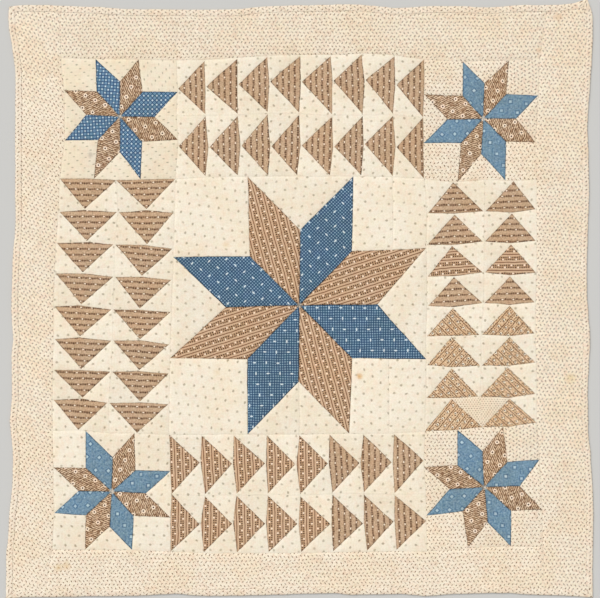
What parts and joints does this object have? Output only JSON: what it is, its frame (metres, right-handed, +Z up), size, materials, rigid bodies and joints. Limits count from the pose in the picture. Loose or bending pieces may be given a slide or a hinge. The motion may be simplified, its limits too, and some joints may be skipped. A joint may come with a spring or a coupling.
{
  "type": "crib quilt",
  "caption": "Flat pieced crib quilt: eight-pointed star in a ring of flying geese, small stars at the corners, plain border and narrow binding.",
  "frame": {"origin": "middle of the flat underside, at the height the quilt rests at", "axes": "+X towards the quilt's right and +Y towards its top as it is looked at, +Z up out of its face"},
  "size_m": [0.9554, 0.9749, 0.0039],
  "materials": {
    "border_print_cotton": "plain-weave cotton, cream with small brown specks, faded",
    "light_print_cotton": "plain-weave cotton, cream with sparse grey sprigs",
    "goose_strip_cotton": "tan striped print and cream cotton pieced together",
    "star_block_cotton": "blue, brown and cream cotton prints pieced together",
    "blue_print_cotton": "plain-weave cotton, blue check with white dashes",
    "brown_print_cotton": "plain-weave cotton, brown pinstripe with white dots",
    "binding_print_cotton": "border print, folded double and hemmed down"
  },
  "bodies": {
    "root": {"binding_bottom": "binding_print_cotton", "binding_left": "binding_print_cotton", "binding_right": "binding_print_cotton", "binding_top": "binding_print_cotton", "border_bottom": "border_print_cotton", "border_left": "border_print_cotton", "border_right": "border_print_cotton", "border_top": "border_print_cotton", "centre_diamond_1": "brown_print_cotton", "centre_diamond_2": "blue_print_cotton", "centre_diamond_3": "brown_print_cotton", "centre_diamond_4": "blue_print_cotton", "centre_diamond_5": "brown_print_cotton", "centre_diamond_6": "blue_print_cotton", "centre_diamond_7": "brown_print_cotton", "centre_diamond_8": "blue_print_cotton", "centre_square_lower_left": "light_print_cotton", "centre_square_lower_right": "light_print_cotton", "centre_square_lower_right_end": "light_print_cotton", "centre_square_upper_left": "light_print_cotton", "centre_square_upper_right": "light_print_cotton", "centre_square_upper_right_end": "light_print_cotton", "centre_triangle_left": "light_print_cotton", "centre_triangle_lower": "light_print_cotton", "centre_triangle_lower_end": "light_print_cotton", "centre_triangle_right": "light_print_cotton", "centre_triangle_upper": "light_print_cotton", "geese_bottom_inner": "goose_strip_cotton", "geese_bottom_outer": "goose_strip_cotton", "geese_left_inner": "goose_strip_cotton", "geese_left_outer": "goose_strip_cotton", "geese_right_inner": "goose_strip_cotton", "geese_right_outer": "goose_strip_cotton", "geese_top_inner": "goose_strip_cotton", "geese_top_outer": "goose_strip_cotton", "star_block_bottom_left": "star_block_cotton", "star_block_bottom_right": "star_block_cotton", "star_block_top_left": "star_block_cotton", "star_block_top_right": "star_block_cotton"}
  },
  "joints": []
}
